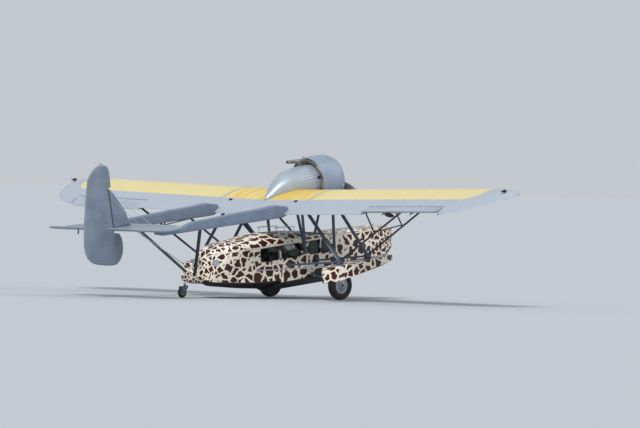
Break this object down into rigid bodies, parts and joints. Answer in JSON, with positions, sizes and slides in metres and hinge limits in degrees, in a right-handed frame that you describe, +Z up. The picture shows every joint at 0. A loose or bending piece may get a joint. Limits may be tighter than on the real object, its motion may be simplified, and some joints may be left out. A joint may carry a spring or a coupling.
{
  "type": "twin-boom amphibious floatplane",
  "caption": "Parasol-wing amphibian with a pod hull, twin tail booms, strut-braced side floats and a cowled radial engine, parked on its wheels.",
  "frame": {"origin": "on the ground under the middle of the box that holds the whole aircraft", "axes": "+X towards the nose, +Y to port along the wings, +Z up; the aircraft stands 7.37 degrees nose-up on its three wheels"},
  "size_m": [9.8798, 15.85, 3.5236],
  "materials": {
    "wing_fabric": "doped fabric, satin yellow and silver",
    "silver_fabric": "doped fabric, satin silver",
    "hull_paint": "cream enamel with dark brown patches",
    "window_glass": "clear",
    "seat_leather": "dark red leather",
    "panel_black": "black crackle paint",
    "silver_metal": "silver paint over aluminium",
    "engine_metal": "cast and finned",
    "exhaust_steel": "heat-browned steel",
    "propeller_metal": "forged and polished",
    "strut_paint": "dark slate paint",
    "tyre_rubber": "black rubber",
    "wheel_metal": "painted cast wheel"
  },
  "bodies": {
    "airframe": {"wing_centre": "wing_fabric", "wing_right": "wing_fabric", "wing_left": "wing_fabric", "hull_bow": "hull_paint", "hull_bottom": "hull_paint", "hull_stern": "hull_paint", "cabin_side_right": "hull_paint", "cabin_side_left": "hull_paint", "cabin_roof": "hull_paint", "windshield_frame": "hull_paint", "windshield_glass": "window_glass", "side_glass_right": "window_glass", "side_glass_left": "window_glass", "front_seats": "seat_leather", "rear_bench": "seat_leather", "instrument_panel": "panel_black", "nacelle": "silver_metal", "cowl_ring": "silver_metal", "engine": "engine_metal", "exhaust": "exhaust_steel", "boom_right": "silver_metal", "boom_left": "silver_metal", "stern_strut_right": "strut_paint", "stern_strut_left": "strut_paint", "tailplane": "silver_fabric", "fin": "silver_fabric", "float_right": "hull_paint", "float_left": "hull_paint", "inner_strut_rear_right": "strut_paint", "inner_strut_rear_left": "strut_paint", "inner_strut_front_right": "strut_paint", "inner_strut_front_left": "strut_paint", "outer_strut_rear_right": "strut_paint", "outer_strut_rear_left": "strut_paint", "outer_strut_front_right": "strut_paint", "outer_strut_front_left": "strut_paint", "jury_strut_right": "strut_paint", "jury_strut_left": "strut_paint", "cabane_rear_right": "strut_paint", "cabane_rear_left": "strut_paint", "cabane_front_right": "strut_paint", "cabane_front_left": "strut_paint", "gear_leg_right": "strut_paint", "gear_leg_left": "strut_paint"},
    "propeller_body": {"propeller": "propeller_metal"},
    "aileron_right_body": {"aileron_right": "silver_fabric"},
    "aileron_left_body": {"aileron_left": "silver_fabric"},
    "elevators": {"elevator_right": "silver_fabric", "elevator_left": "silver_fabric"},
    "rudder_body": {"rudder": "silver_fabric"},
    "wheel_right": {"tyre_right": "tyre_rubber", "hub_right": "wheel_metal"},
    "wheel_left": {"tyre_left": "tyre_rubber", "hub_left": "wheel_metal"},
    "tail_caster": {"tail_fork": "strut_paint"},
    "tail_wheel_body": {"tail_wheel": "tyre_rubber"},
    "hatch_lid": {"roof_hatch": "hull_paint"}
  },
  "joints": [
    {"name": "propeller_spin", "type": "hinge", "parent": "airframe", "child": "propeller_body", "pos_m": [3.10955, 0, 2.95608], "axis": [0.9917, 0, 0.1283], "continuous": true},
    {"name": "aileron_right_hinge", "type": "hinge", "parent": "airframe", "child": "aileron_right_body", "pos_m": [0.5649, -4, 2.22819], "axis": [0.0028, 0.9998, -0.022], "range_deg": [-35, 10]},
    {"name": "aileron_left_hinge", "type": "hinge", "parent": "airframe", "child": "aileron_left_body", "pos_m": [0.5649, 4, 2.22819], "axis": [-0.0028, 0.9998, 0.022], "range_deg": [-10, 35]},
    {"name": "elevator_hinge", "type": "hinge", "parent": "airframe", "child": "elevators", "pos_m": [-4.05358, 0, 1.60702], "axis": [0, 1, 0], "range_deg": [-30, 18]},
    {"name": "rudder_hinge", "type": "hinge", "parent": "airframe", "child": "rudder_body", "pos_m": [-4.10797, 0, 2.02751], "axis": [-0.2021, 0, 0.9794], "range_deg": [-25, 25]},
    {"name": "wheel_right_spin", "type": "hinge", "parent": "airframe", "child": "wheel_right", "pos_m": [2.24857, -1.25, 0.35918], "axis": [0, 1, 0], "continuous": true},
    {"name": "wheel_left_spin", "type": "hinge", "parent": "airframe", "child": "wheel_left", "pos_m": [2.24857, 1.25, 0.35918], "axis": [0, 1, 0], "continuous": true},
    {"name": "tail_swivel", "type": "hinge", "parent": "airframe", "child": "tail_caster", "pos_m": [-1.70446, 0, 0.36209], "axis": [-0.1283, 0, 0.9917], "range_deg": [-60, 60]},
    {"name": "tail_wheel_spin", "type": "hinge", "parent": "tail_caster", "child": "tail_wheel_body", "pos_m": [-1.77541, 0, 0.13108], "axis": [0, 1, 0], "continuous": true},
    {"name": "hatch_hinge", "type": "hinge", "parent": "airframe", "child": "hatch_lid", "pos_m": [0.08603, 0, 1.48304], "axis": [0, -1, 0], "range_deg": [0, 100]}
  ],
  "couplings": [
    {"joint": "aileron_left_hinge", "follows": "aileron_right_hinge", "ratio": -1}
  ]
}
